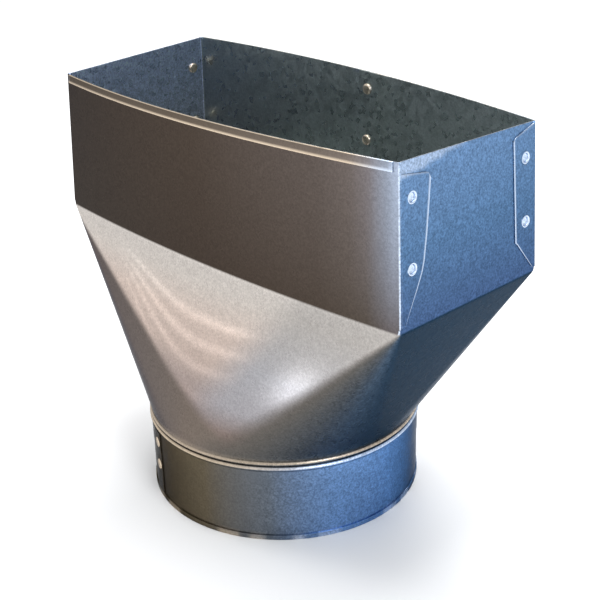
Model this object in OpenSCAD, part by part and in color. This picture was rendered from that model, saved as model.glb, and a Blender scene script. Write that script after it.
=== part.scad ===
// Straight register boot: a rectangular mouth, a square-to-round transition and a round duct collar.
// Folded and press-clinched from galvanised sheet. It stands on the collar, mouth up.
// Origin: on the collar's axis, at its bottom edge. +X along the mouth, -Y is the front long wall.

/* [Sheet] */
// Thickness of the galvanised sheet
sheet = 0.55; // [0.4:0.05:1]
// Outside radius of the bends at the box corners
bend_r = 1.6; // [1.2:0.1:3]

/* [Mouth box] */
// Outside width of the box at its lower crease
box_w = 255; // [200:1:320]
// Outside depth of the box at its lower crease, at the corners
box_d = 102; // [80:1:140]
// Height of the box walls, from the crease to the rim
box_h = 79; // [60:1:120]
// How far the box centre lies right of the collar's axis
box_shift_x = 3.4; // [-10:0.2:10]
// How far the box centre lies behind the collar's axis
box_shift_y = 3; // [-10:0.2:10]
// Inward lean of each end wall, from the crease to the rim
end_lean = 3.5; // [0:0.5:6]
// Inward lean of each long wall, from the crease to the rim
side_lean = 1.8; // [0:0.2:5]
// Outward bow of the long walls at the crease
crease_bow = 6.8; // [0:0.2:12]
// Outward bow of the long walls at the rim
rim_bow = 10.7; // [0:0.1:16]
// Rack of the mouth: front right and back left corners up by this much, the other two down
mouth_rack = 1.7; // [0:0.1:4]

/* [Rim hem] */
// Depth of the hem that is folded out along the long walls
hem_h = 4.6; // [3:0.2:10]
// How far the hem stops short of each corner
hem_stop = 5; // [3:0.5:30]

/* [Transition] */
// Height from the neck's bead to the box's crease
transition_h = 97; // [60:1:150]
// Half of the neck's arc that runs into an end wall
end_fan = 3; // [1:0.5:12]
// Half of the neck's arc that runs into a long wall
side_fan = 7; // [2:0.5:20]

/* [Collar] */
// Outside diameter of the collar
collar_d = 152.4; // [110:0.1:180]
// Height of the collar, from its bottom edge to its top edge
collar_h = 45.6; // [36:0.1:80]
// How far the rolled beads of the collar and of the neck stand out
bead_out = 0.9; // [0.5:0.1:1.5]
// Height of a rolled bead
bead_h = 2.8; // [2:0.1:5]
// Height of the hem that is folded out at the collar's bottom edge
collar_hem_h = 2.8; // [2:0.2:6]
// Angle of the free edge of the collar's lap, counted from +X
lap_angle = -108; // [-170:1:-10]
// Width of the collar's lap
lap_w = 8; // [7:0.5:20]

/* [Neck inside the collar] */
// Length of the neck below the collar's top edge
neck_in = 16; // [8:1:26]
// Clearance between the neck and the collar
neck_gap = 0.15; // [0.1:0.05:0.4]
// How far the collar is stretched outwards where the neck sits in it
seat_out = 0.2; // [0.1:0.05:0.5]
// Height of the ramp on which the collar opens out, below the neck
seat_ramp_h = 2; // [1:0.1:4]

/* [Corner tabs] */
// How far the front tabs' upper edge starts below the rim
tab_drop = 5.4; // [3:0.2:12]
// Reach of the front tabs along the end wall, at their upper edge
tab_w = 21; // [18:0.5:28]
// Reach of the front tabs where their curved foot starts
tab_foot_w = 15.3; // [12:0.5:18]
// Depth below the rim at which the front tabs' curved foot starts
tab_foot_at = 52.5; // [45:0.5:60]
// Reach of the back tabs, below their slanted upper edge
back_tab_w = 18; // [15:0.5:24]
// Depth below the rim at which the back tabs' chamfer starts
back_tab_cut_at = 59.7; // [50:0.5:66]
// How far every tab's tip stays above the crease
tab_tip_gap = 3; // [2:0.5:8]
// Drop of the front tabs' upper edge, from the fold to the free edge
tab_top_slant = 2.7; // [0:0.1:6]
// Drop of the back tabs' upper edge, from the fold to the free edge
back_tab_top_slant = 5.4; // [0:0.1:10]
// Reach of the back tabs just above their chamfer
back_tab_foot_w = 16.8; // [12:0.1:22]

/* [Clinches] */
// Diameter of the punched cup of a clinch
cup_d = 4.8; // [3:0.2:6]
// Diameter of the raised pip behind the cup
pip_d = 6; // [4:0.2:8]
// How far a pip of the box stands proud
pip_out = 1.1; // [0.6:0.1:2]
// How far a pip of the collar stands proud
collar_pip_out = 0.5; // [0.3:0.1:1.5]
// Distance of a tab's clinches from the corner fold
clinch_from_fold = 8.6; // [6:0.2:12]
// Depth of the upper clinch of a tab below the rim
clinch_top = 17; // [12:0.5:24]
// Spacing of the two clinches of a tab
clinch_pitch = 33; // [20:0.5:40]
// Depth of the back seam's upper clinch below the rim
seam_clinch_top = 9.6; // [7:0.2:20]
// Spacing of the back seam's two clinches
seam_clinch_pitch = 28.7; // [15:0.1:45]
// Height of the collar's lower clinch
collar_clinch_z = 20.5; // [12:0.5:26]
// Spacing of the collar's two clinches
collar_clinch_pitch = 14.3; // [8:0.1:18]

/* [Back seam] */
// Distance of the seam's middle from the box centre
seam_x = 5; // [-20:0.5:20]
// Width of the lap
seam_w = 13; // [9:0.5:24]

/* [Hidden] */
LONG_STEPS = 10; // facets along a long wall
FAN_STEPS = 10; // facets round one corner of the transition
FOOT_STEPS = 4; // facets of a front tab's curved foot
BEAD_STEPS = 2; // facets on each flank of a bead
LAP_STEPS = 5; // facets along the collar's lap
SINK = 0.1; // how deep a laid-on layer is rooted in the layer below
PROUD = 0.02; // keeps two faces from lying in one plane
SIDES = 96; // facets of a circle, where it is drawn with facets
ZINC = [0.62, 0.63, 0.65];

LONG = 0;
CORNER = 1;
END = 2;
NO_LAP = 0;
LAP_OUTSIDE = 4;
LAP_INSIDE = 5;

collar_r = collar_d / 2;
bore_r = collar_r - sheet;
neck_r = bore_r + seat_out - neck_gap;
neck_z = collar_h - neck_in;
seat_z = neck_z - 2 * seat_out;
lock_z = collar_h - bead_h / 2;
ridge_z = collar_h + bead_h / 2 + sheet / 2;
fan_z = ridge_z + bead_h / 2 + sheet;
crease_z = fan_z + transition_h;
crease_round = 1.2; // the crease is rounded over this much height to each side
seam_left = seam_x - seam_w / 2;
seam_right = seam_x + seam_w / 2;
seam_run_out = 10; // over this width a lapped sheet comes back to the wall's line
seam_foot_w = 8; // width of the lap where it meets the neck
edge_step = 0.2; // width over which a sheet's cut edge is drawn
edge_fan = 0.6; // degrees of the neck between a corner's bend and its end wall
slit_w = 0.6; // slit in a front corner, above its tab
clinch_floor = 0.8; // metal left between a clinch's cup and its pip
REACH = 3; // how far a cut runs out into the open
tip_w = 3.4; // reach of a tab at its tip

function mix(a, b, t) = a + (b - a) * t;

// Size of the box at height h above the crease: 0 at the crease, 1 at the rim
function half_w(h) = box_w / 2 - end_lean * h;
function half_d(h) = box_d / 2 - side_lean * h;
function bow(h) = mix(crease_bow, rim_bow, h);
function corner_turn(h) = 90 - atan(2 * bow(h) / half_w(h));
function below_rim(depth) = 1 - depth / box_h;

// A spot names a place on the outline: [kind, x side, y side, share, lap outside, lap inside].
// The share runs along a long wall or an end wall from -1 to 1, and round a corner from the long wall
// (0) to the end wall (1). The laps say where one sheet gives way to the other in the back seam.
function spot(kind, sx, sy, share, out = 0, in = 0) = [kind, sx, sy, share, out, in];

// Plan of the box in one quarter, from the box centre. step is how far the corner bends stand out
// beyond the end walls, which is a sheet's thickness where the tabs lie on them.
function corner_plan(f, h, inset, step) =
    let (a = corner_turn(h) * (1 - f), r = bend_r - inset)
    [half_w(h) - sheet + step - bend_r + r * cos(a), half_d(h) - bend_r + r * sin(a)];
function long_plan(p, h, inset, step) =
    let (end = corner_plan(0, h, inset, step))
    [p * end[0], end[1] + bow(h) * (1 - p * p)];
function end_plan(q, h, inset) = [half_w(h) - sheet - inset, q * (half_d(h) - bend_r - sheet)];

function box_plan(s, h, inset, step) =
    let (v = s[0] == LONG ? long_plan(s[3], h, inset, step)
           : s[0] == CORNER ? corner_plan(s[3], h, inset, step)
           : end_plan(s[3], h, inset))
    [s[1] * v[0], s[2] * v[1]];
function neck_angle(s) =
    s[0] == LONG ? 90 - side_fan * s[3]
    : s[0] == CORNER ? mix(90 - side_fan, end_fan + edge_fan, s[3])
    : end_fan * s[3];
function neck_plan(s, r) = let (a = neck_angle(s)) [s[1] * r * cos(a), s[2] * r * sin(a)];

// The three stretches of the sheet: round neck, straight-lined transition and box wall
function neck_point(s, z, r) = concat(neck_plan(s, r), z);
function fan_point(s, t, inset) =
    let (a = neck_plan(s, collar_r - inset), b = box_plan(s, 0, inset, 0))
    [mix(a[0], b[0] + box_shift_x, t), mix(a[1], b[1] + box_shift_y, t), mix(fan_z, crease_z, t)];
function placed(v, h) =
    let (rack = mouth_rack * v[0] * v[1] / half_w(1) / half_d(1))
    [v[0] + box_shift_x, v[1] + box_shift_y, crease_z + h * (box_h - rack)];
function wall_point(s, h, inset, step) = placed(box_plan(s, h, inset, step), h);

// Spots round the whole outline, anticlockwise from the front left corner
function run(kind, sx, sy, from, to, steps) =
    [for (k = [1 : steps - 1]) spot(kind, sx, sy, mix(from, to, k / steps))];
function corner_run(sx, sy, from) =
    [for (k = [0 : FAN_STEPS]) spot(CORNER, sx, sy, abs(from - k / FAN_STEPS))];
function share_at(x) = x / (half_w(0) - sheet);
back_lap = [
    spot(LONG, 1, 1, share_at(seam_right + seam_run_out)),
    spot(LONG, 1, 1, share_at(seam_right + edge_step), 1, 1),
    spot(LONG, 1, 1, share_at(seam_right), 0, 1),
    spot(LONG, 1, 1, share_at(seam_left), 0, 1),
    spot(LONG, 1, 1, share_at(seam_left - edge_step)),
];
OUTLINE = concat(
    run(LONG, 1, -1, -1, 1, LONG_STEPS),
    corner_run(1, -1, 0),
    [for (q = [-1 : 1]) spot(END, 1, 1, q)],
    corner_run(1, 1, 1),
    run(LONG, 1, 1, 1, back_lap[0][3], LONG_STEPS / 2),
    back_lap,
    run(LONG, 1, 1, back_lap[4][3], -1, LONG_STEPS / 2),
    corner_run(-1, 1, 0),
    [for (q = [-1 : 1]) spot(END, -1, 1, -q)],
    corner_run(-1, -1, 1)
);

// Rings of the sheet, each at one level
function neck_ring(z, r) = [for (s = OUTLINE) neck_point(s, z, r)];
function fan_ring(t, inset) = [for (s = OUTLINE) fan_point(s, t, inset)];
function wall_ring(h, inset, step, lap) =
    [for (s = OUTLINE) wall_point(s, h, inset + (lap == NO_LAP ? 0 : sheet * s[lap]), step)];

// Profile of a rolled bead: height and radius of its points, on a base that may change at the crest
function bead(z, low_r, high_r, crest) = [for (k = [-BEAD_STEPS : BEAD_STEPS])
    let (share = (1 + cos(180 * k / BEAD_STEPS)) / 2)
    [z + k * bead_h / 2 / BEAD_STEPS, mix(k < 0 ? low_r : high_r, crest, share)]];
function neck_profile(inset) = concat(
    [[neck_z, neck_r - inset]],
    bead(lock_z - PROUD, neck_r - inset, neck_r - inset, neck_r + bead_out - inset),
    bead(ridge_z, neck_r - inset, collar_r - inset, collar_r + bead_out - inset));

// Closed skin round a list of rings with the same number of points
module wrap(rings) {
    m = len(rings);
    n = len(rings[0]);
    polyhedron(
        points = [for (ring = rings) for (v = ring) v],
        faces = [for (i = [0 : m - 1]) for (k = [0 : n - 1])
            let (i2 = (i + 1) % m, k2 = (k + 1) % n, a = i * n + k, b = i * n + k2, c = i2 * n + k2, d = i2 * n + k)
            each [[a, c, b], [a, d, c]]]);
}

// Plate between an upper and a lower grid of points with the same rows and columns
module plate(upper, lower) {
    m = len(upper);
    n = len(upper[0]);
    skin = m * n;
    edge = concat(
        [for (k = [0 : n - 2]) k],
        [for (i = [0 : m - 2]) i * n + n - 1],
        [for (k = [n - 1 : -1 : 1]) (m - 1) * n + k],
        [for (i = [m - 1 : -1 : 1]) i * n]);
    polyhedron(
        points = concat([for (row = upper) each row], [for (row = lower) each row]),
        faces = concat(
            [for (i = [0 : m - 2]) for (k = [0 : n - 2]) let (a = i * n + k)
                each [[a, a + n + 1, a + 1], [a, a + n, a + n + 1]]],
            [for (i = [0 : m - 2]) for (k = [0 : n - 2]) let (a = skin + i * n + k)
                each [[a, a + 1, a + n + 1], [a, a + n + 1, a + n]]],
            [for (j = [0 : len(edge) - 1]) let (a = edge[j], b = edge[(j + 1) % len(edge)])
                each [[a, b, b + skin], [a, b + skin, a + skin]]]));
}

// The folded sheet by itself: neck, transition and box walls, with an outer and an inner skin
module folded_sheet() {
    low = crease_round / transition_h;
    high = crease_round / box_h;
    tip = (tab_tip_gap - sheet) / box_h;
    function skin(inset, lap) = concat(
        [for (v = neck_profile(inset)) neck_ring(v[0], v[1])],
        [
            fan_ring(1 - low, inset),
            wall_ring(high, inset, 0, NO_LAP),
            wall_ring(tip, inset, sheet, lap),
            wall_ring(1, inset, sheet, lap),
        ]);
    outer = skin(0, LAP_OUTSIDE);
    inner = skin(sheet, LAP_INSIDE);
    wrap(concat(outer, [for (i = [len(inner) - 1 : -1 : 0]) inner[i]]));
}

// Hem of one long wall, folded out and down from the rim
module hem(sy) {
    reach = 1 - hem_stop / half_w(1);
    shares = concat([-reach], [for (k = [1 : LONG_STEPS - 1]) -1 + 2 * k / LONG_STEPS], [reach]);
    function row(depth, inset) =
        [for (p = shares) wall_point(spot(LONG, 1, sy, p), below_rim(depth), inset, sheet)];
    levels = [[hem_h, 1], [sheet / 2, 1], [0, 0.5]];
    skin = [for (v = levels) row(v[0], -v[1] * sheet)];
    root = [for (v = levels) row(v[0], SINK)];
    plate(sy < 0 ? skin : root, sy < 0 ? root : skin);
}

// Corner tabs. A place on an end wall is given by its depth below the rim and its reach from the fold.
function end_place(sx, sy, depth, reach, out) =
    let (h = below_rim(depth))
    placed([sx * (half_w(h) + out), sy * (half_d(h) - reach)], h);
tab_tip_at = box_h - tab_tip_gap;
front_tab = concat(
    [[tab_drop, tab_drop + tab_top_slant, tab_w]],
    [for (k = [0 : FOOT_STEPS]) let (u = k / FOOT_STEPS, depth = mix(tab_foot_at, tab_tip_at, u))
        [depth, depth, mix(tab_foot_w, tip_w, pow(u, 1.2))]]);
back_tab = [
    [sheet, sheet + back_tab_top_slant, back_tab_w],
    [back_tab_cut_at, back_tab_cut_at, back_tab_foot_w],
    [back_tab_cut_at + sheet, back_tab_cut_at + sheet, back_tab_foot_w - 2 * sheet],
    [tab_tip_at, tab_tip_at, tip_w],
];
module corner_tab(sx, sy, rows) {
    function grid(out, start) = [for (v = rows)
        [end_place(sx, sy, v[0], start, out), end_place(sx, sy, v[1], v[2], out)]];
    skin = grid(PROUD, bend_r - SINK);
    root = grid(-sheet - SINK, bend_r + sheet);
    plate(sx * sy > 0 ? skin : root, sx * sy > 0 ? root : skin);
}

// Lap of the back seam on the transition, from the neck up to the crease
module seam_strip() {
    function share(x, t) =
        (x - t * box_shift_x) / (mix(collar_r * side_fan * PI / 180, half_w(0) - sheet, t));
    function row(t, inset) =
        let (x = t * (box_shift_x + seam_x), w = mix(seam_foot_w, seam_w, t) / 2)
        [for (v = [[-w - seam_foot_w * t, 0], [-w, 1], [w, 1]])
            fan_point(spot(LONG, 1, 1, share(x + v[0], t)), t, inset == 0 ? SINK : -v[1] * inset - PROUD)];
    levels = [for (k = [0 : 4]) mix(sheet / transition_h, 1 - crease_round / transition_h, k / 4)];
    plate([for (t = levels) row(t, 0)], [for (t = levels) row(t, sheet)]);
}

// A clinch punched along +Z from the plane z = 0: its cup, which is cut away, or its pip behind
module clinch_cup(layers, out) {
    translate([0, 0, -REACH]) cylinder(d = cup_d, h = REACH + layers * sheet + out - clinch_floor, $fn = SIDES / 2);
}
module clinch_pip(layers, out) {
    translate([0, 0, (layers - 0.5) * sheet]) cylinder(d = pip_d, h = sheet / 2 + out, $fn = SIDES / 2);
}

// Places its children at every clinch of the box, punched inwards
module at_box_clinches() {
    for (sx = [-1, 1]) for (sy = [-1, 1]) for (k = [0, 1])
        translate(end_place(sx, sy, clinch_top + k * clinch_pitch, clinch_from_fold, 0))
            rotate([0, -90 * sx, 0]) children();
    for (k = [0, 1])
        translate(wall_point(spot(LONG, 1, 1, share_at(seam_x)),
                             below_rim(seam_clinch_top + k * seam_clinch_pitch), 0, sheet))
            rotate([90, 0, 0]) children();
}

// Slits between the long wall's hem and the end walls, above the front tabs
module corner_slits() {
    for (sx = [-1, 1])
        translate([box_shift_x + sx * half_w(1) - REACH,
                   box_shift_y - half_d(1) + bend_r,
                   crease_z + box_h + sx * mouth_rack - tab_drop])
            cube([2 * REACH, slit_w, tab_drop + REACH]);
}

module body() {
    color(ZINC) difference() {
        union() {
            folded_sheet();
            hem(-1);
            hem(1);
            seam_strip();
            for (sx = [-1, 1]) {
                corner_tab(sx, -1, front_tab);
                corner_tab(sx, 1, back_tab);
            }
            at_box_clinches() clinch_pip(2, pip_out);
        }
        at_box_clinches() clinch_cup(2, pip_out);
        corner_slits();
    }
}

// Collar profile: a hem at the bottom, a straight wall, the stretch over the neck and the bead that
// locks on the neck's own
function over_neck(r) = concat(
    [[r, seat_z - seat_ramp_h], [r + seat_out, seat_z]],
    [for (v = bead(lock_z, r + seat_out, r + seat_out, r + seat_out + bead_out)) [v[1], v[0]]]);
collar_outside = concat(
    [
        [collar_r + sheet / 2, 0],
        [collar_r + sheet, sheet / 2],
        [collar_r + sheet, collar_hem_h],
        [collar_r, collar_hem_h],
    ],
    over_neck(collar_r));
collar_inside = concat([[bore_r, 0]], over_neck(bore_r));
module collar_ring() {
    last = len(collar_inside) - 1;
    rotate_extrude($fn = SIDES)
        polygon(concat(collar_outside, [for (i = [last : -1 : 0]) collar_inside[i]]));
}

// Lap of the collar: full thickness at the free edge, running out the other way round
lap_turn = lap_w / collar_r * 180 / PI;
module collar_lap() {
    function on_ring(turn, r) = [r * cos(lap_angle - turn), r * sin(lap_angle - turn)];
    turns = [for (k = [0 : LAP_STEPS]) lap_turn * k / LAP_STEPS];
    low = collar_hem_h + sheet;
    translate([0, 0, low])
        linear_extrude(height = collar_h - bead_h - sheet - low)
            polygon(concat(
                [for (a = turns) on_ring(a, collar_r + sheet)],
                [on_ring(2 * lap_turn, collar_r - SINK / 2)],
                [for (k = [LAP_STEPS : -1 : 0]) on_ring(turns[k], collar_r - SINK)]));
}
module at_collar_clinches() {
    for (k = [0, 1])
        rotate([0, 0, lap_angle - lap_turn / 2])
            translate([bore_r, 0, collar_clinch_z + k * collar_clinch_pitch])
                rotate([0, 90, 0]) children();
}

module collar() {
    color(ZINC) difference() {
        union() {
            collar_ring();
            collar_lap();
            at_collar_clinches() clinch_pip(2, collar_pip_out);
        }
        at_collar_clinches() clinch_cup(2, collar_pip_out);
    }
}

body();
collar();
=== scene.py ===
"""Visual model of the register boot: folded and clinched galvanised sheet, mouth up on its collar."""
import math

import bmesh
import bpy
import numpy as np
from mathutils import Matrix, Vector


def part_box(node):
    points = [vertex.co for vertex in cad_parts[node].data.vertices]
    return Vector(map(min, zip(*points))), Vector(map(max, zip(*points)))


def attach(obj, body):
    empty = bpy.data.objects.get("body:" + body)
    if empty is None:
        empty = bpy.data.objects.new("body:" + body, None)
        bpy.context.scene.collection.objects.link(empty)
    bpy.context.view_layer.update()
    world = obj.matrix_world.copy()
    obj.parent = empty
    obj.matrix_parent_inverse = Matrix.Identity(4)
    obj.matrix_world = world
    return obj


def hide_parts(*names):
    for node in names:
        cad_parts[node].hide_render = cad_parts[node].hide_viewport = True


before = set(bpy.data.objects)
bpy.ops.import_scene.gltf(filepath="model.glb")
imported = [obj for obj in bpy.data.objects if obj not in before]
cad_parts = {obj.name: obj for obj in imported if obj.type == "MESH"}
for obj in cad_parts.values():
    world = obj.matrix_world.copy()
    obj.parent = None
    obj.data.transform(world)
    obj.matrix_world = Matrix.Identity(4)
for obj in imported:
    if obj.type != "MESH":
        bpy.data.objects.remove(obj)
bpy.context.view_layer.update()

MM = 0.001

# Sheet
SHEET = 0.55 * MM
BEND_R = 1.6 * MM

# Mouth box, from the crease (height 0) to the rim (height 1)
BOX_W = 255 * MM
BOX_D = 102 * MM
BOX_H = 79 * MM
BOX_AT = Vector((3.4 * MM, 3 * MM, 0))
END_LEAN = 3.5 * MM
SIDE_LEAN = 1.8 * MM
CREASE_BOW = 6.8 * MM
RIM_BOW = 10.7 * MM
MOUTH_RACK = 1.7 * MM

# Transition and collar
TRANSITION_H = 97 * MM
END_FAN = math.radians(3)
SIDE_FAN = math.radians(7)
COLLAR_R = 76.2 * MM
COLLAR_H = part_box("collar")[1].z
BEAD_OUT = 0.9 * MM
BEAD_H = 2.8 * MM
COLLAR_HEM = 2.8 * MM
NECK_IN = 16 * MM
NECK_GAP = 0.15 * MM
SEAT_OUT = 0.2 * MM
SEAT_RAMP = 2 * MM
BORE_R = COLLAR_R - SHEET
NECK_R = BORE_R + SEAT_OUT - NECK_GAP
NECK_Z = COLLAR_H - NECK_IN
SEAT_Z = NECK_Z - 2 * SEAT_OUT
LOCK_Z = COLLAR_H - BEAD_H / 2
RIDGE_Z = COLLAR_H + BEAD_H / 2 + SHEET / 2
FAN_Z = RIDGE_Z + BEAD_H / 2 + SHEET
CREASE_Z = FAN_Z + TRANSITION_H
CREASE_ROUND = 1.6 * MM

# Hem, tabs, seam
HEM_STOP = 1.8 * MM
TAB_TIP_GAP = 3 * MM
SEAM_X = 5 * MM
SEAM_W = 13 * MM
SEAM_FOOT_W = 8 * MM
SEAM_RUN_OUT = 10 * MM
LAP_ANGLE = math.radians(-108)
LAP_W = 8 * MM

# Facets
LONG_COLUMNS = 60
CORNER_COLUMNS = 26
END_COLUMNS = 26
FAN_ROWS = 56
WALL_ROWS = 34
RING_SIDES = 288


def mix(a, b, t):
    return a + (b - a) * t


def half_w(h):
    return BOX_W / 2 - END_LEAN * h


def half_d(h):
    return BOX_D / 2 - SIDE_LEAN * h


def bow(h):
    return mix(CREASE_BOW, RIM_BOW, h)


def corner_turn(h):
    return math.pi / 2 - math.atan(2 * bow(h) / half_w(h))


def below_rim(depth):
    return 1 - depth / BOX_H


# Places round the outline, anticlockwise from the front left corner
LONG, CORNER, END = 0, 1, 2


def outline():
    """Arrays over the columns: kind, x side, y side, share, and where the back seam steps in or out."""
    rows = []

    def run(kind, sx, sy, start, stop, count):
        even = np.linspace(start, stop, count + 2)[1:-1]
        closer_at_folds = 0.45 * even + 0.55 * np.sin(math.pi / 2 * even)
        rows.extend((kind, sx, sy, s, 0, 0) for s in closer_at_folds)

    def corner(sx, sy, start):
        rows.extend((CORNER, sx, sy, s, 0, 0) for s in np.linspace(start, 1 - start, CORNER_COLUMNS + 1))

    def share(x):
        return x / (half_w(0) - SHEET)

    left, right = SEAM_X - SEAM_W / 2, SEAM_X + SEAM_W / 2
    edge = 0.12 * MM
    run(LONG, 1, -1, -1, 1, LONG_COLUMNS)
    corner(1, -1, 0)
    rows.extend((END, 1, 1, s, 0, 0) for s in np.linspace(-1, 1, END_COLUMNS))
    corner(1, 1, 1)
    run(LONG, 1, 1, 1, share(right + SEAM_RUN_OUT), LONG_COLUMNS // 2)
    for x in np.linspace(right + SEAM_RUN_OUT, right + edge, 8):
        drop = (right + SEAM_RUN_OUT - x) / (SEAM_RUN_OUT - edge)
        rows.append((LONG, 1, 1, share(x), drop, drop))
    for x in np.linspace(right, left, 9):
        rows.append((LONG, 1, 1, share(x), 0, 1))
    rows.append((LONG, 1, 1, share(left - edge), 0, 0))
    run(LONG, 1, 1, share(left - edge), -1, LONG_COLUMNS // 2)
    corner(-1, 1, 0)
    rows.extend((END, -1, 1, -s, 0, 0) for s in np.linspace(-1, 1, END_COLUMNS))
    corner(-1, -1, 1)
    return [np.array(v, float) for v in zip(*rows)]


KIND, SIDE_X, SIDE_Y, SHARE, STEP_OUT, STEP_IN = outline()


def box_plan(h, inset, step, kind=KIND, sx=SIDE_X, sy=SIDE_Y, share=SHARE):
    """Plan of the box at height h, from its centre: x and y of every column."""
    r = BEND_R - inset
    f = np.where(kind == CORNER, share, 0)
    a = corner_turn(h) * (1 - f)
    x = half_w(h) - SHEET + step - BEND_R + r * np.cos(a)
    y = half_d(h) - BEND_R + r * np.sin(a)
    flat = np.where(kind == LONG, share, 1)
    y = y + bow(h) * (1 - flat ** 2)
    x = x * flat
    end = kind == END
    x = np.where(end, half_w(h) - SHEET - inset, x)
    y = np.where(end, share * (half_d(h) - BEND_R - SHEET), y)
    return sx * x, sy * y


def neck_angle():
    edge_fan = math.radians(0.6)
    return np.where(KIND == LONG, math.pi / 2 - SIDE_FAN * SHARE, np.where(
        KIND == CORNER, mix(math.pi / 2 - SIDE_FAN, END_FAN + edge_fan, SHARE), END_FAN * SHARE))


def neck_plan(r):
    a = neck_angle()
    return SIDE_X * r * np.cos(a), SIDE_Y * r * np.sin(a)


def neck_ring(z, r):
    x, y = neck_plan(r)
    return np.stack([x, y, np.full_like(x, z)], 1)


def racked(x, y, h):
    return CREASE_Z + h * (BOX_H - MOUTH_RACK * x * y / half_w(1) / half_d(1))


def wall_ring(h, inset, step=0.0, lap=None):
    drop = 0 if lap is None else SHEET * lap
    x, y = box_plan(h, inset + drop, step)
    return np.stack([x + BOX_AT.x, y + BOX_AT.y, racked(x, y, h)], 1)


def fan_ring(t, inset):
    nx, ny = neck_plan(COLLAR_R - inset)
    bx, by = box_plan(0, inset, 0)
    x, y = mix(nx, bx + BOX_AT.x, t), mix(ny, by + BOX_AT.y, t)
    return np.stack([x, y, np.full_like(x, mix(FAN_Z, CREASE_Z, t))], 1)


def crease_rings(inset, count=7):
    """The fold between transition and wall, rounded by a curve through three rings."""
    low, high = CREASE_ROUND / TRANSITION_H, CREASE_ROUND / BOX_H
    a, b, c = fan_ring(1 - low, inset), fan_ring(1, inset), wall_ring(high, inset)
    return [(1 - u) ** 2 * a + 2 * u * (1 - u) * b + u * u * c for u in np.linspace(0, 1, count)]


def bead(z, low_r, high_r, crest, steps=5):
    """Half-round section of a rolled bead: pairs of height and radius."""
    rows = []
    for k in range(-steps, steps + 1):
        share = math.cos(math.pi / 2 * k / steps) ** 0.8 if abs(k) < steps else 0
        rows.append((z + k * BEAD_H / 2 / steps, mix(low_r if k < 0 else high_r, crest, share)))
    return rows


def skin(inset, lap):
    """Rings of one side of the sheet, from the neck's lower edge up to the rim."""
    r = NECK_R - inset
    rows = [(NECK_Z, r), (mix(NECK_Z, LOCK_Z, 0.5), r)]
    rows += bead(LOCK_Z, r, r, r + BEAD_OUT)
    rows += bead(RIDGE_Z, r, COLLAR_R - inset, COLLAR_R - inset + BEAD_OUT)
    rings = [neck_ring(z, radius) for z, radius in rows]
    low = CREASE_ROUND / TRANSITION_H
    rings += [fan_ring(t, inset) for t in np.linspace(0, 1 - low, FAN_ROWS)[1:-1]]
    rings += crease_rings(inset)
    tip = (TAB_TIP_GAP - SHEET) / BOX_H
    rings.append(wall_ring(tip * 0.8, inset))
    edge = 0.12 * MM / BOX_H
    for h in np.linspace(tip, 1 - edge, WALL_ROWS):
        rings.append(wall_ring(h, inset, SHEET, lap))
    return rings


def deselect():
    if bpy.context.mode != "OBJECT":
        bpy.ops.object.mode_set(mode="OBJECT")
    bpy.ops.object.select_all(action="DESELECT")


def take(piece):
    """Makes one piece the only selected and the active one."""
    deselect()
    piece.select_set(True)
    bpy.context.view_layer.objects.active = piece


def edit(piece):
    """Opens one piece in edit mode with nothing selected."""
    take(piece)
    bpy.ops.object.mode_set(mode="EDIT")
    bpy.ops.mesh.select_all(action="DESELECT")


def close_edit(merge=1e-6):
    """Merges doubles, turns the faces outwards and leaves edit mode."""
    bpy.ops.mesh.select_all(action="SELECT")
    bpy.ops.mesh.remove_doubles(threshold=merge)
    bpy.ops.mesh.normals_make_consistent(inside=False)
    bpy.ops.object.mode_set(mode="OBJECT")


def finish_mesh(piece, angle=38):
    take(piece)
    bpy.ops.object.shade_smooth_by_angle(angle=math.radians(angle))
    return piece


def modified(piece, kind, **values):
    """Adds a modifier with its values and applies it."""
    take(piece)
    modifier = piece.modifiers.new(kind.title(), kind)
    for key, value in values.items():
        setattr(modifier, key, value)
    bpy.ops.object.modifier_apply(modifier=modifier.name)


def laid_sheet(name, rows, closed_across=False, closed_along=False):
    """A flat grid laid on rows of places, joined to itself where the sheet closes."""
    places = np.array(rows)
    if closed_across:
        places = np.concatenate([places, places[:, :1]], 1)
    if closed_along:
        places = np.concatenate([places, places[:1]], 0)
    deselect()
    bpy.ops.mesh.primitive_grid_add(x_subdivisions=places.shape[1] - 1, y_subdivisions=places.shape[0] - 1)
    piece = bpy.context.object
    piece.name = piece.data.name = name
    piece.data.vertices.foreach_set("co", places.reshape(-1))
    piece.data.update()
    return piece


def mark_edges(piece, values):
    """Keeps how far each place is marked bright: bright sheared edges of the sheet, and painted highlight
    where folds and cups catch light; 0 plain, 1 bright.
    """
    edge = piece.data.attributes.new("edge_wear_and_highlight", "FLOAT", "POINT")
    edge.data.foreach_set("value", np.asarray(values, float).reshape(-1))


def cap_ends(piece):
    """Fills the open ends of a swept section and closes the piece."""
    edit(piece)
    bpy.ops.mesh.select_all(action="SELECT")
    bpy.ops.mesh.remove_doubles(threshold=1e-6)
    bpy.ops.mesh.select_all(action="DESELECT")
    bpy.ops.mesh.select_non_manifold()
    bpy.ops.mesh.fill_holes(sides=0)
    close_edit()


def build_shell():
    """Neck, transition and box walls: one sheet, laid up the outside, over the rim and down the inside."""
    edge = 0.12 * MM
    rim = [wall_ring(1, edge, SHEET, STEP_OUT), wall_ring(1, SHEET - edge, SHEET, STEP_IN)]
    rings = skin(0, STEP_OUT) + rim + skin(SHEET, STEP_IN)[::-1]
    piece = laid_sheet("boot_shell", rings, closed_across=True, closed_along=True)
    edit(piece)
    close_edit()
    return finish_mesh(piece)


def wall_line(sy, shares, depth, out):
    """Places along a long wall at one depth below the rim, a distance out from its face."""
    h = below_rim(depth)
    n = np.ones_like(shares)
    x, y = box_plan(h, -out, SHEET, kind=LONG * n, sx=n, sy=sy * n, share=shares)
    return np.stack([x + BOX_AT.x, y + BOX_AT.y, racked(x, y, h)], 1)


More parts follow.
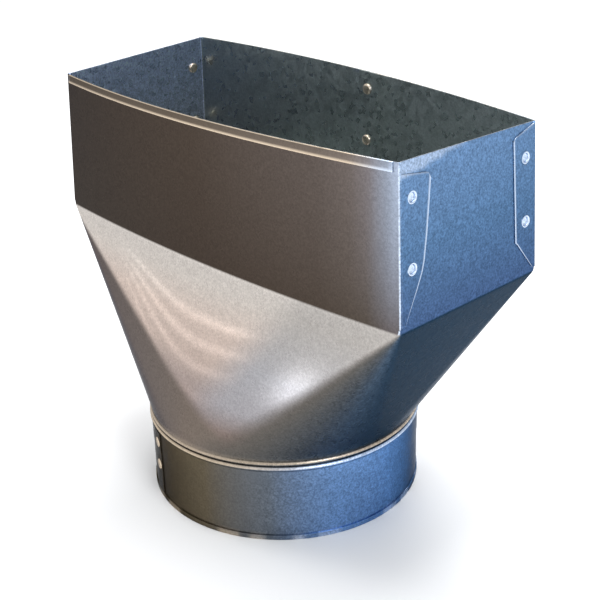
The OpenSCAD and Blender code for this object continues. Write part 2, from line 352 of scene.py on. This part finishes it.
def build_hem(name, sy):
    """The hem of a long wall: round over the rim and down the outside."""
    reach = 1 - HEM_STOP / half_w(1)
    shares = np.linspace(-reach, reach, 2 * LONG_COLUMNS)
    section = [(0.05, 1.2), (0.05, 4.45), (0.12, 4.6), (0.45, 4.6), (0.55, 4.45), (0.56, 3.0), (0.55, 0.5)]
    section += [(0.55 * math.cos(a), 0.5 - 0.5 * math.sin(a)) for a in np.linspace(0.3, math.pi - 0.3, 9)]
    section += [(-0.5, 0.6), (-0.3, 1.2)]
    rows = [wall_line(sy, shares, depth * MM, out * MM) for out, depth in section]
    piece = laid_sheet(name, rows, closed_along=True)
    # Bright marks on the hem's round top and its lower edge: the sheared edge partly, painted highlight
    # partly.
    wear_and_highlight = [1 if depth < 0.35 or depth in (4.6, 4.45) and out > 0.3 else 0.1 for out, depth in section]
    mark_edges(piece, np.repeat(wear_and_highlight + wear_and_highlight[:1], len(shares)))
    cap_ends(piece)
    return finish_mesh(piece)


def end_place(sx, sy, depth, reach, out):
    """A place on an end wall: depth below the rim, reach from the fold, distance out from the tab's face."""
    h = below_rim(depth)
    x, y = sx * (half_w(h) + out), sy * (half_d(h) - reach)
    return Vector((x + BOX_AT.x, y + BOX_AT.y, racked(x, y, h)))


FRONT_TAB = {"top": 5.4, "slant": 2.7, "corner": 2.6,
             "edge": [(8.1, 21), (20, 20.1), (36, 18.4), (48, 16.6), (53, 15.2), (60, 11.8), (66, 8.6),
                      (71, 5.9), (76, 3.4)]}
BACK_TAB = {"top": 0.55, "slant": 5.4, "corner": 1.2,
            "edge": [(6, 18), (30, 17.5), (59.7, 16.8), (60.25, 15.7), (76, 3.4)]}


def build_tab(name, sx, sy, shape):
    """A corner tab: a plate folded round the corner and laid on the end wall."""
    depths, reaches = zip(*shape["edge"])
    start = (BEND_R - 0.1 * MM) / MM
    rows = []
    for depth in np.linspace(shape["top"], 76, 60):
        reach = float(np.interp(depth, depths, reaches))
        row = []
        for u in np.linspace(0, 1, 14):
            at = mix(start, reach, u)
            fade = max(0, 1 - (depth - shape["top"]) / 12)
            down = depth + shape["slant"] * u * fade
            round_off = max(0, at - (reach - shape["corner"])) / shape["corner"]
            near_top = max(0, 1 - (depth - shape["top"]) / 4)
            down += shape["corner"] * (1 - math.sqrt(max(0, 1 - round_off ** 2))) * near_top
            lift = 0.1 * max(0, (at - reach + 3) / 3) ** 2
            row.append(end_place(sx, sy, down * MM, at * MM, (0.02 + lift) * MM))
        rows.append(row)
    piece = laid_sheet(name, rows)
    # The free edge and top row of the tab are marked bright: the cut edge partly, painted highlight partly.
    wear_and_highlight = np.zeros((60, 14))
    wear_and_highlight[:, -1] = 1
    wear_and_highlight[0] = 0.5
    mark_edges(piece, wear_and_highlight)
    edit(piece)
    close_edit()
    bm = bmesh.new()
    bm.from_mesh(piece.data)
    bm.normal_update()
    wrong = sum(f.normal.x for f in bm.faces) * sx < 0
    bm.free()
    if wrong:
        edit(piece)
        bpy.ops.mesh.select_all(action="SELECT")
        bpy.ops.mesh.flip_normals()
        bpy.ops.object.mode_set(mode="OBJECT")
    modified(piece, "SOLIDIFY", thickness=SHEET, offset=-1)
    modified(piece, "BEVEL", width=0.12 * MM, segments=2, limit_method="ANGLE", angle_limit=math.radians(50))
    return finish_mesh(piece)


def build_seam_strip():
    """The lap of the back seam on the transition, from the neck up to the crease."""
    def share(x, t):
        return (x - t * BOX_AT.x) / mix(COLLAR_R * SIDE_FAN, half_w(0) - SHEET, t)

    def place(x, t, out):
        s = share(x, t)
        a = math.pi / 2 - SIDE_FAN * s
        r = COLLAR_R + out
        h0 = half_d(0) + out + CREASE_BOW * (1 - s * s)
        bx, by = (half_w(0) - SHEET) * s + BOX_AT.x, h0 + BOX_AT.y
        return Vector((mix(r * math.cos(a), bx, t), mix(r * math.sin(a), by, t), mix(FAN_Z, CREASE_Z, t)))

    rows = []
    for t in np.linspace(0.006, 1 - CREASE_ROUND / TRANSITION_H, 40):
        x, w = t * (BOX_AT.x + SEAM_X), mix(SEAM_FOOT_W, SEAM_W, t) / 2
        run_out = SEAM_FOOT_W * t
        row = [place(x - w - run_out, t, -0.05 * MM)]
        row += [place(x - w - run_out * (1 - u), t, SHEET * u * u * (3 - 2 * u)) for u in (0.25, 0.5, 0.75)]
        row += [place(x + mix(-w, w - 0.12 * MM, u), t, SHEET) for u in np.linspace(0, 1, 6)]
        row += [place(x + w, t, SHEET - 0.12 * MM), place(x + w, t, -0.1 * MM)]
        row += [place(x + mix(w, -w - run_out, u), t, -0.15 * MM) for u in (0.1, 0.5, 0.9)]
        rows.append(row)
    piece = laid_sheet("seam_lap", rows, closed_across=True)
    cap_ends(piece)
    return finish_mesh(piece)


def spun(name, section, steps=RING_SIDES, closed=False):
    """A section of (radius, height) pairs, drawn from a plane's corner and spun round an axis."""
    deselect()
    bpy.ops.mesh.primitive_plane_add(size=1)
    piece = bpy.context.object
    piece.name = piece.data.name = name
    bpy.ops.object.mode_set(mode="EDIT")
    bpy.ops.mesh.select_all(action="SELECT")
    bpy.ops.mesh.merge(type="CENTER")
    bm = bmesh.from_edit_mesh(piece.data)
    bm.verts.ensure_lookup_table()
    first = Vector((section[0][0], 0, section[0][1]))
    bm.verts[0].co = first
    bm.verts[0].select = True
    bmesh.update_edit_mesh(piece.data)
    pairs = list(section[1:]) + ([section[0]] if closed else [])
    last = first
    for r, z in pairs:
        here = Vector((r, 0, z))
        bpy.ops.mesh.extrude_vertices_move(TRANSFORM_OT_translate={"value": here - last})
        last = here
    bpy.ops.mesh.select_all(action="SELECT")
    bpy.ops.mesh.remove_doubles(threshold=1e-7)
    bpy.ops.mesh.select_all(action="SELECT")
    bpy.ops.mesh.spin(steps=steps, angle=2 * math.pi, center=(0, 0, 0), axis=(0, 0, 1))
    close_edit()
    return piece


def collar_section():
    def over_neck(r):
        seat = r + SEAT_OUT
        rows = [(r, SEAT_Z - SEAT_RAMP), (seat, SEAT_Z)]
        return rows + [(radius, z) for z, radius in bead(LOCK_Z, seat, seat, seat + BEAD_OUT)]

    hem = [(0.0, 2.98), (-0.04, 2.88), (0.1, 2.82), (0.42, 2.82), (0.55, 2.7), (0.57, 1.6), (0.55, 0.5)]
    hem += [(0.55 * math.cos(a), 0.5 - 0.5 * math.sin(a)) for a in np.linspace(0.3, math.pi - 0.3, 8)]
    hem = [(COLLAR_R + out * MM, z * MM) for out, z in hem]
    outside = over_neck(COLLAR_R)[::-1] + [(COLLAR_R, z * MM) for z in (22, 16, 10, 5)] + hem
    inside = [(BORE_R, z * MM) for z in (0.6, 8, 16, 22)] + over_neck(BORE_R)
    return outside + inside


def build_collar():
    piece = spun("duct_collar", collar_section(), closed=True)
    return finish_mesh(piece)


def build_collar_lap():
    """The collar's lap: full thickness at its free edge, running out the other way round."""
    turn = LAP_W / COLLAR_R
    low, high = COLLAR_HEM + SHEET, COLLAR_H - BEAD_H - SHEET
    def place(a, out, z):
        r = COLLAR_R + out * MM + (SEAT_OUT if z > SEAT_Z else 0)
        return Vector((r * math.cos(LAP_ANGLE - a), r * math.sin(LAP_ANGLE - a), z))
    rows = []
    for z in np.linspace(low, high, 24):
        row = [place(0, -0.1, z), place(0, 0.43, z), place(0.12 * MM / COLLAR_R, 0.55, z)]
        row += [place(turn * u, 0.55, z) for u in np.linspace(0.15, 1, 6)]
        row += [place(turn * (1 + u), 0.55 * (1 - u * u * (3 - 2 * u)) - 0.03 * u, z)
                for u in np.linspace(0.2, 1, 6)]
        row += [place(turn * (2 - 2 * u), -0.15, z) for u in (0.1, 0.5, 0.9)]
        rows.append(row)
    piece = laid_sheet("collar_lap", rows, closed_across=True)
    cap_ends(piece)
    return finish_mesh(piece)


CLINCH_SECTION = [
    (0, -1.34), (1.3, -1.36), (1.75, -1.3), (2.05, -1.1), (2.2, -0.6), (2.3, -0.25), (2.42, -0.08),
    (2.62, 0.02), (2.95, 0.03), (3.1, -0.02), (3.1, -0.9), (3.02, -1.15), (2.98, -1.5), (2.85, -1.85),
    (2.5, -2.12), (1.8, -2.2), (0, -2.16)]
COLLAR_CLINCH_SECTION = [
    (0, -0.85), (1.5, -0.86), (1.95, -0.78), (2.2, -0.5), (2.35, -0.15), (2.5, 0.02), (2.8, 0.03),
    (3.0, -0.02), (3.0, -1.0), (2.95, -1.25), (2.75, -1.48), (2.3, -1.6), (1.5, -1.64), (0, -1.65)]
CLINCH_DEPTHS = (17, 50)
SEAM_CLINCH_DEPTHS = (9.6, 38.3)
COLLAR_CLINCH_Z = (20.5, 34.8)
CLINCH_REACH = 8.6 * MM
CLINCH_HOLE_R = 2.75 * MM


def build_clinch(name, section, place, outward):
    """One press clinch: its punched cup and the pip behind, along the outward direction of its wall."""
    piece = spun(name, [(r * MM, z * MM) for r, z in section], steps=40)
    # The whole clinch is marked bright: painted highlight on its cup and pip.
    mark_edges(piece, np.ones(len(piece.data.vertices)))
    turn = outward.to_track_quat("Z", "Y").to_matrix().to_4x4()
    piece.data.transform(Matrix.Translation(place) @ turn)
    return finish_mesh(piece, 50)


def clinch_places():
    """Name, place and outward direction of every clinch of the box."""
    rows = []
    for side, sx in (("left", -1), ("right", 1)):
        for end, sy in (("front", -1), ("back", 1)):
            outward = Vector((sx, 0, END_LEAN / BOX_H)).normalized()
            for k, depth in enumerate(CLINCH_DEPTHS):
                place = end_place(sx, sy, depth * MM, CLINCH_REACH, 0.02 * MM)
                rows.append((f"{end}_{side}_clinch_{k + 1}", place, outward))
    share = SEAM_X / (half_w(0) - SHEET)
    for k, depth in enumerate(SEAM_CLINCH_DEPTHS):
        place = Vector(wall_line(1, np.array([share]), depth * MM, 0)[0])
        rows.append((f"seam_clinch_{k + 1}", place, Vector((0, 1, 0))))
    return rows


def collar_lap_outward():
    """Outward direction through the middle of the collar's lap."""
    a = LAP_ANGLE - LAP_W / COLLAR_R / 2
    return Vector((math.cos(a), math.sin(a), 0))


def build_collar_clinches():
    """The lap's two clinches, punched from inside the collar."""
    out = collar_lap_outward()
    places = [out * BORE_R + Vector((0, 0, z * MM)) for z in COLLAR_CLINCH_Z]
    return [build_clinch(f"collar_clinch_{k + 1}", COLLAR_CLINCH_SECTION, place, -out)
            for k, place in enumerate(places)]


def drill(piece, cutters):
    """Cuts the clinches' holes out of a sheet."""
    for cutter in cutters:
        take(piece)
        modifier = piece.modifiers.new("Hole", "BOOLEAN")
        modifier.operation, modifier.object, modifier.solver = "DIFFERENCE", cutter, "EXACT"
        bpy.ops.object.modifier_apply(modifier="Hole")


def hole_cutter(place, outward, depth=4 * MM):
    deselect()
    bpy.ops.mesh.primitive_cylinder_add(vertices=40, radius=CLINCH_HOLE_R, depth=depth)
    cutter = bpy.context.object
    turn = outward.to_track_quat("Z", "Y").to_matrix().to_4x4()
    cutter.data.transform(Matrix.Translation(place) @ turn)
    return cutter


def join(pieces, name):
    take(pieces[0])
    for piece in pieces[1:]:
        piece.select_set(True)
    bpy.ops.object.join()
    pieces[0].name = pieces[0].data.name = name
    return pieces[0]


shell = build_shell()
hems = [build_hem("front_hem", -1), build_hem("back_hem", 1)]
tabs = [build_tab("front_left_tab", -1, -1, FRONT_TAB), build_tab("front_right_tab", 1, -1, FRONT_TAB),
        build_tab("back_left_tab", -1, 1, BACK_TAB), build_tab("back_right_tab", 1, 1, BACK_TAB)]
strip = build_seam_strip()
spots = clinch_places()
clinches = [build_clinch(name, CLINCH_SECTION, place, out) for name, place, out in spots]
cutters = [hole_cutter(place, out) for _, place, out in spots]
cutter = join(cutters, "cutter")
for piece in [shell] + tabs:
    drill(piece, [cutter])
bpy.data.objects.remove(cutter)
collar = build_collar()
lap = build_collar_lap()
collar_clinches = build_collar_clinches()
out = collar_lap_outward()
cutter = join([hole_cutter(out * COLLAR_R + Vector((0, 0, z * MM)), out) for z in COLLAR_CLINCH_Z], "cutter")
for piece in (collar, lap):
    drill(piece, [cutter])
bpy.data.objects.remove(cutter)
body = join([shell] + hems + tabs + [strip] + clinches, "boot_body")
collar = join([collar, lap] + collar_clinches, "duct_collar")
for piece in (body, collar):
    finish_mesh(piece)

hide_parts("body")
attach(body, "root")
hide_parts("collar")
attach(collar, "root")


def put(tree, kind, inputs=None, **settings):
    """Adds a node, with its settings and its inputs: a socket is linked, anything else is its value."""
    node = tree.nodes.new(kind)
    for key, value in settings.items():
        setattr(node, key, value)
    for key, value in (inputs or {}).items():
        if isinstance(value, bpy.types.NodeSocket):
            tree.links.new(value, node.inputs[key])
        else:
            node.inputs[key].default_value = value
    return node


def number(tree, operation, *values, clamp=False):
    node = put(tree, "ShaderNodeMath", dict(enumerate(values)), operation=operation, use_clamp=clamp)
    return node.outputs[0]


def ramp(tree, value, low, high, start=0.0, stop=1.0):
    """A smooth step of a value between low and high."""
    sockets = {"Value": value, "From Min": low, "From Max": high, "To Min": start, "To Max": stop}
    return put(tree, "ShaderNodeMapRange", sockets, interpolation_type="SMOOTHSTEP").outputs["Result"]


def blend_colour(tree, factor, a, b, kind="MIX"):
    node = put(tree, "ShaderNodeMix", data_type="RGBA", blend_type=kind)
    for socket, value in ((node.inputs[0], factor), (node.inputs[6], a), (node.inputs[7], b)):
        if isinstance(value, bpy.types.NodeSocket):
            tree.links.new(value, socket)
        else:
            socket.default_value = value
    return node.outputs[2]


def new_group(name, inputs, outputs):
    """An empty node group with named inputs and outputs: name, kind and default."""
    tree = bpy.data.node_groups.new(name, "ShaderNodeTree")
    for label, kind, value in inputs:
        socket = tree.interface.new_socket(label, in_out="INPUT", socket_type=kind)
        if value is not None:
            socket.default_value = value
    for label, kind in outputs:
        tree.interface.new_socket(label, in_out="OUTPUT", socket_type=kind)
    return tree, tree.nodes.new("NodeGroupInput"), tree.nodes.new("NodeGroupOutput")


def spangle_group():
    """Crystal grains of hot-dip zinc: a value that changes from grain to grain, and a fine mottle."""
    tree, source, result = new_group(
        "zinc_spangle",
        [("Place", "NodeSocketVector", None), ("Grain", "NodeSocketFloat", 300.0),
         ("Mottle", "NodeSocketFloat", 900.0)],
        [("Grains", "NodeSocketFloat"), ("Mottle", "NodeSocketFloat")])
    on_sheet = source.outputs["Place"]
    warp = put(tree, "ShaderNodeTexNoise", {"Vector": on_sheet, "Scale": 120.0, "Detail": 2.0})
    middle = {0: warp.outputs["Color"], 1: (0.5, 0.5, 0.5)}
    shift = put(tree, "ShaderNodeVectorMath", middle, operation="SUBTRACT")
    small = put(tree, "ShaderNodeVectorMath", {0: shift.outputs[0], "Scale": 0.006}, operation="SCALE")
    place = put(tree, "ShaderNodeVectorMath", {0: on_sheet, 1: small.outputs[0]}, operation="ADD")
    cells = put(tree, "ShaderNodeTexVoronoi", {"Vector": place.outputs[0], "Scale": source.outputs["Grain"]})
    grain = put(tree, "ShaderNodeSeparateColor", {0: cells.outputs["Color"]})
    finer = {"Vector": on_sheet, "Scale": source.outputs["Mottle"], "Detail": 3.0, "Roughness": 0.7}
    fine = put(tree, "ShaderNodeTexNoise", finer)
    tree.links.new(grain.outputs[0], result.inputs["Grains"])
    tree.links.new(fine.outputs["Fac"], result.inputs["Mottle"])
    return tree


SPANGLE = spangle_group()


def srgb(*colour):
    """A linear colour from the 0 to 255 values of a screen."""
    return [(c / 255 / 12.92) if c <= 10 else ((c / 255 + 0.055) / 1.055) ** 2.4 for c in colour]


def along(stops, t):
    """Colours that run through stops of (place, colour), one colour for each t."""
    places = [stop[0] for stop in stops]
    colours = np.array([srgb(*stop[1]) for stop in stops])
    return np.stack([np.interp(t, places, colours[:, k]) for k in range(3)], -1)


def step(low, high, t):
    u = np.clip((t - low) / (high - low), 0, 1)
    return u * u * (3 - 2 * u)


# Colour of each wall: the zinc's own tone, with painted reflection of a brown, blue and bright room and
# painted shade, set by which way each face looks; stops along its length (mm), its height (0 to 1) or round
# the collar (degrees)
FRONT_WALL_LOW = [(-127, (67, 60, 53)), (0, (64, 55, 48)), (83, (70, 61, 54)), (112, (78, 70, 63)),
                  (126, (96, 90, 90))]
FRONT_WALL_TOP = [(-127, (70, 62, 55)), (0, (76, 66, 58)), (83, (94, 85, 80)), (102, (108, 99, 95)),
                  (112, (125, 119, 121)), (122, (152, 161, 177)), (126, (172, 185, 206))]
BACK_WALL = [(-127, (96, 90, 84)), (127, (90, 84, 78))]
RIGHT_END = [(0, (64, 86, 122)), (0.5, (82, 113, 149)), (1, (104, 136, 175))]
LEFT_END = [(0, (84, 82, 84)), (1, (98, 94, 94))]
SLOPE_TAN = [(0, (108, 95, 86)), (0.2, (134, 118, 112)), (0.35, (156, 142, 136)), (0.5, (180, 163, 153)),
             (0.7, (198, 181, 170)), (0.9, (204, 196, 188)), (1, (204, 197, 190))]
SLOPE_GREY = [(0, (108, 95, 86)), (0.15, (126, 112, 106)), (0.3, (152, 149, 152)), (0.55, (160, 159, 162)),
              (0.9, (176, 171, 166)), (1, (182, 177, 172))]
LEFT_CONE = [(0, (100, 92, 88)), (1, (92, 84, 82))]
RIGHT_CONE = [(-90, (112, 101, 92)), (-60, (100, 97, 93)), (-40, (90, 95, 100)), (-25, (80, 96, 113)),
              (-10, (50, 68, 86)), (0, (34, 52, 68))]
# Inside faces are painted lighter to make up for the shade between the walls: painted light.
INSIDE_END = [(0, (166, 168, 178)), (0.4, (180, 186, 206)), (1, (196, 212, 250))]
INSIDE_LONG = [(-127, (176, 184, 180)), (0, (184, 194, 192)), (127, (204, 212, 214))]
INSIDE_FAN = [(0, (170, 172, 172)), (1, (180, 184, 182))]
COLLAR = [(-180, (62, 55, 44)), (-120, (62, 54, 40)), (-106, (70, 60, 44)), (-78, (97, 88, 72)),
          (-50, (98, 106, 116)), (-23, (110, 146, 194)), (4, (85, 122, 172)), (27, (48, 72, 104)),
          (60, (52, 66, 86)), (120, (70, 68, 64)), (180, (62, 55, 44))]
COLLAR_INSIDE = (90, 90, 90)
# Colours of the bright marks: painted highlights on folds, beads and hems, and the bright sheared edges of
# the sheet.
CREAM_EDGE_AND_HIGHLIGHT = srgb(236, 216, 190)
ICE_EDGE_AND_HIGHLIGHT = srgb(222, 236, 255)
SLOPE_FOOT = (46, 20)
# Painted reflection bands on the front slope: place below the crease and weight.
PAINTED_SHEEN_BANDS = [(28, 1.0), (41, 1.0), (54, 0.9), (70, 0.7)]
BAND_WIDTH = 2.6


def blend(a, b, t):
    return a + (b - a) * t[:, None]


def painted_sheen(x, z):
    """Painted reflection: bright bands on a slope that leave the left end of the crease, sink and level out
    to the right.
    """
    depth = np.clip(CREASE_Z / MM - z, 0, None)
    sink = np.clip(step(-112, 6, x) - 0.16 * step(12, 75, x), 0.05, None)
    run = depth / sink
    lines = sum(weight * np.exp(-((run - place) / BAND_WIDTH) ** 2) for place, weight in PAINTED_SHEEN_BANDS)
    return lines * step(-84, -46, x) * step(62, 34, x) * step(4, 12, depth)


def body_tone_and_painted_reflection(place, normal):
    # Colour by facing and place: painted reflection and painted shade over the zinc's own tone.
    x, y, z = (place / MM).T
    nx, ny, nz = normal.T
    height = np.clip((place[:, 2] - CREASE_Z) / BOX_H, 0, 1)
    fan = np.clip((place[:, 2] - FAN_Z) / TRANSITION_H, 0, 1)
    angle = np.degrees(np.arctan2(ny, np.abs(nx)))
    ends = blend(along(LEFT_END, height), along(RIGHT_END, height), step(-0.2, 0.2, nx))
    front = blend(along(FRONT_WALL_LOW, x), along(FRONT_WALL_TOP, x), height)
    longs = blend(along(BACK_WALL, x), front, step(0.2, -0.2, ny))
    walls = blend(longs, ends, step(0.6, 0.8, np.abs(nx)))
    # Painted highlight: icy bright on the rounded corner folds, strong on the right and faint on the left.
    fold = step(0.55, 1, 4 * nx * nx * ny * ny) * (height > 0)
    walls = blend(walls, np.array(ICE_EDGE_AND_HIGHLIGHT), 0.75 * fold * (nx > 0) + 0.1 * fold * (nx < 0))
    # Painted reflection: an icy glint along the top of the right end wall, wider towards the front.
    rim_glint = (nx > 0.8) * step(0, 0.02, height - 1 + 0.085 * step(8, -48, y))
    walls = blend(walls, np.array(ICE_EDGE_AND_HIGHLIGHT), 0.35 * rim_glint)
    cones = blend(along(LEFT_CONE, fan), along(RIGHT_CONE, -np.abs(angle)), step(-0.2, 0.1, nx))
    left = mix(SLOPE_FOOT[0], -half_w(0) / MM, fan)
    right = mix(SLOPE_FOOT[1], half_w(0) / MM + 3, fan)
    soft = 2 + 9 * (1 - fan)
    on_slope = step(-soft, soft, x - left) * step(-soft, soft, right - x)
    # Painted reflection bands brighten the slope's tan.
    tan = along(SLOPE_TAN, fan) * (1 + 0.34 * painted_sheen(x, z))[:, None]
    # Painted highlight: a bright patch on the right of the slope.
    lengthwise, across = (x - 73) + 110 * (fan - 0.55), (x - 73) - 110 * (fan - 0.55)
    painted_highlight_patch = np.exp(-(lengthwise / 26) ** 2 - (across / 13) ** 2)
    slopes = blend(tan, along(SLOPE_GREY, fan), step(-16, 16, x - (77 * fan - 10)))
    slopes = slopes * (1 + 0.95 * painted_highlight_patch)[:, None]
    fans = blend(cones, slopes, on_slope * step(0.3, 0.5, np.abs(ny)))
    outside = blend(fans, walls, step(CREASE_Z / MM - 0.6, CREASE_Z / MM + 0.6, z))
    # Painted highlight on the upper flank of the neck's bead.
    ridge_highlight = step(1.6, 0.9, np.abs(z - RIDGE_Z / MM)) * step(0.0, 0.35, nz)
    outside = blend(outside, np.array(CREAM_EDGE_AND_HIGHLIGHT), 0.6 * ridge_highlight)
    # Inside faces take lighter colours: painted light against the shade between the walls.
    inner_walls = blend(along(INSIDE_LONG, x), along(INSIDE_END, height), step(0.6, 0.8, np.abs(nx)))
    inside = blend(along(INSIDE_FAN, fan), inner_walls, step(CREASE_Z / MM - 3, CREASE_Z / MM + 3, z))
    inward = step(0.05, -0.05, nx * (x - BOX_AT.x / MM) / 100 + ny * (y - BOX_AT.y / MM) / 50)
    return blend(outside, inside, inward)


def collar_tone_and_painted_reflection(place, normal):
    # The collar's colour round it: painted reflection, olive on the left and blue on the right, with painted
    # highlights on the bead's upper flank and in dashes along the hem.
    turn = np.degrees(np.arctan2(place[:, 1], place[:, 0]))
    inward = step(0.1, -0.1, (normal * place)[:, :2].sum(1) / COLLAR_R)
    inside = np.array(srgb(*COLLAR_INSIDE))
    outside = along(COLLAR, turn)
    z, up = place[:, 2] / MM, normal[:, 2]
    ridge_highlight = step(1.6, 0.9, np.abs(z - LOCK_Z / MM)) * step(0, 0.35, up)
    hem_glint_dashes = step(-0.1, 0.5, np.sin(turn / 2.3) + np.sin(turn / 5.9))
    hem = step(3.1, 2.7, z) * (0.35 + 0.65 * step(0.2, -0.4, up)) * hem_glint_dashes
    wear_and_highlight = np.clip(0.75 * ridge_highlight + 0.6 * hem, 0, 1)
    # Painted highlights turn icy on the right, where the blue light falls.
    blue_light_side = step(-70, -20, turn)[:, None]
    bright = np.array(CREAM_EDGE_AND_HIGHLIGHT) * (1 - blue_light_side) + np.array(ICE_EDGE_AND_HIGHLIGHT) * blue_light_side
    outside = outside + (bright - outside) * wear_and_highlight[:, None]
    return outside + (inside - outside) * inward[:, None]


def lay_tone_and_painted_reflection(piece, tone_and_painted_reflection):
    """Keeps the colour of each place of a piece: the zinc's tone with painted reflection and painted shade.
    """
    mesh = piece.data
    count = len(mesh.vertices)
    place, normal = np.empty(count * 3), np.empty(count * 3)
    mesh.vertices.foreach_get("co", place)
    mesh.vertex_normals.foreach_get("vector", normal)
    colour = np.ones((count, 4))
    place, normal = place.reshape(-1, 3), normal.reshape(-1, 3)
    colour[:, :3] = tone_and_painted_reflection(place, normal)
    colour[:, 3] = mix(0.45, 1, step(0.45, 0.7, np.abs(normal[:, 0])))
    mesh.attributes.new("tone_and_painted_reflection", "FLOAT_COLOR", "POINT").data.foreach_set("color", colour.reshape(-1))


def place_group(tree, group, inputs):
    node = put(tree, "ShaderNodeGroup", node_tree=group)
    for key, value in inputs.items():
        if isinstance(value, bpy.types.NodeSocket):
            tree.links.new(value, node.inputs[key])
        else:
            node.inputs[key].default_value = value
    return node


def zinc(name, rough, grain):
    """Galvanised sheet: its own tone with painted reflection and painted shade, crystal grains in colour and
    roughness, a fine mottle, bright edges and painted highlights.
    """
    material = bpy.data.materials.new(name)
    material.use_nodes = True
    tree = material.node_tree
    shader = tree.nodes["Principled BSDF"]
    place = put(tree, "ShaderNodeTexCoord")
    kept = put(tree, "ShaderNodeAttribute", attribute_name="tone_and_painted_reflection")
    tone_and_painted_reflection, strength = kept.outputs["Color"], kept.outputs["Alpha"]
    wear_and_highlight = put(tree, "ShaderNodeAttribute", attribute_name="edge_wear_and_highlight").outputs["Fac"]
    grains = place_group(tree, SPANGLE, {"Place": place.outputs["Object"], "Grain": grain})
    value = number(tree, "MULTIPLY_ADD", grains.outputs["Grains"], 0.24, 0.88)
    value = number(tree, "MULTIPLY", value, ramp(tree, grains.outputs["Mottle"], 0.3, 0.7, 0.7, 1.3))
    value = number(tree, "MULTIPLY_ADD", number(tree, "SUBTRACT", value, 1.0), strength, 1.0)
    shade = put(tree, "ShaderNodeCombineColor", {0: value, 1: value, 2: value}).outputs[0]
    colour = blend_colour(tree, 1.0, tone_and_painted_reflection, shade, "MULTIPLY")
    # Bright marks are cream on the left and icy at the right end, where the blue light falls: painted
    # highlight colour.
    across = put(tree, "ShaderNodeSeparateXYZ", {0: place.outputs["Object"]}).outputs[0]
    bright = blend_colour(tree, ramp(tree, across, 0.1, 0.122), (*CREAM_EDGE_AND_HIGHLIGHT, 1), (*ICE_EDGE_AND_HIGHLIGHT, 1))
    colour = blend_colour(tree, number(tree, "MULTIPLY", wear_and_highlight, 0.85), colour, bright)
    tree.links.new(colour, shader.inputs["Base Color"])
    roughness = number(tree, "MULTIPLY_ADD", grains.outputs["Grains"], 0.1, rough)
    tree.links.new(roughness, shader.inputs["Roughness"])
    shader.inputs["Metallic"].default_value = 1
    shader.inputs["Specular Tint"].default_value = (0.45, 0.47, 0.5, 1)
    ripple = {"Height": grains.outputs["Mottle"], "Strength": 0.12, "Distance": 0.0003}
    bump = put(tree, "ShaderNodeBump", ripple)
    tree.links.new(bump.outputs["Normal"], shader.inputs["Normal"])
    return material


for piece, tone_and_painted_reflection, material in ((body, body_tone_and_painted_reflection, zinc("zinc_sheet", 0.26, 420.0)),
                                 (collar, collar_tone_and_painted_reflection, zinc("zinc_collar", 0.28, 420.0))):
    lay_tone_and_painted_reflection(piece, tone_and_painted_reflection)
    piece.data.materials.clear()
    piece.data.materials.append(material)

# Camera
CAMERA_AT = Vector((465.57, -427.17, 398.68)) * MM
FORWARD = Vector((-0.65843, 0.62459, -0.41994)).normalized()
ROLL = math.radians(-1.5)
FOCAL_PX = 1249.84
IMAGE_PX = 600


def set_camera():
    data = bpy.data.cameras.new("camera")
    camera = bpy.data.objects.new("camera", data)
    bpy.context.scene.collection.objects.link(camera)
    right = FORWARD.cross(Vector((0, 0, 1))).normalized()
    up = right.cross(FORWARD)
    right, up = right * math.cos(ROLL) + up * math.sin(ROLL), up * math.cos(ROLL) - right * math.sin(ROLL)
    turn = Matrix((right, up, -FORWARD)).transposed().to_4x4()
    camera.matrix_world = Matrix.Translation(CAMERA_AT) @ turn
    data.sensor_width = 36
    data.lens = FOCAL_PX / IMAGE_PX * data.sensor_width
    data.clip_start = 0.01
    bpy.context.scene.camera = camera


set_camera()


def plain(name, colour, rough=0.9):
    material = bpy.data.materials.new(name)
    material.use_nodes = True
    shader = material.node_tree.nodes["Principled BSDF"]
    shader.inputs["Base Color"].default_value = (*colour, 1)
    shader.inputs["Roughness"].default_value = rough
    return material


def lamp(name, at, aim, size, power, colour=(1, 1, 1)):
    data = bpy.data.lights.new(name, "AREA")
    data.shape, data.size, data.size_y = "RECTANGLE", size[0] * MM, size[1] * MM
    data.energy, data.color = power, colour
    piece = bpy.data.objects.new(name, data)
    bpy.context.scene.collection.objects.link(piece)
    at, aim = Vector(at) * MM, Vector(aim) * MM
    piece.matrix_world = Matrix.Translation(at) @ (aim - at).to_track_quat("-Z", "Y").to_matrix().to_4x4()
    return piece


def light_world():
    """Soft, faintly blue sky; pure white where the camera sees it."""
    world = bpy.data.worlds.new("studio")
    bpy.context.scene.world = world
    world.use_nodes = True
    tree = world.node_tree
    path = put(tree, "ShaderNodeLightPath")
    seen = number(tree, "ADD", path.outputs["Is Camera Ray"], path.outputs["Is Transmission Ray"], clamp=True)
    sky = tree.nodes["Background"]
    sky.inputs["Color"].default_value = (0.97, 0.98, 1, 1)
    sky.inputs["Strength"].default_value = 0.85
    white = put(tree, "ShaderNodeBackground", {"Color": (1, 1, 1, 1), "Strength": 1.0})
    both = put(tree, "ShaderNodeMixShader", {0: seen, 1: sky.outputs[0], 2: white.outputs[0]})
    tree.links.new(both.outputs[0], tree.nodes["World Output"].inputs["Surface"])


def set_stage():
    deselect()
    bpy.ops.mesh.primitive_plane_add(size=12)
    floor = bpy.context.object
    floor.name = "floor"
    floor.data.materials.append(plain("floor_paper", (0.94, 0.94, 0.94)))
    light_world()
    lamp("key", (-500, 900, 1300), (0, 0, 100), (800, 800), 14)
    lamp("side", (1300, -300, 900), (0, 0, 150), (600, 600), 5, (0.9, 0.95, 1))
    lamp("overhead", (0, 0, 1100), (0, 0, 100), (500, 500), 5)


set_stage()
bpy.context.scene.view_settings.view_transform = "Standard"
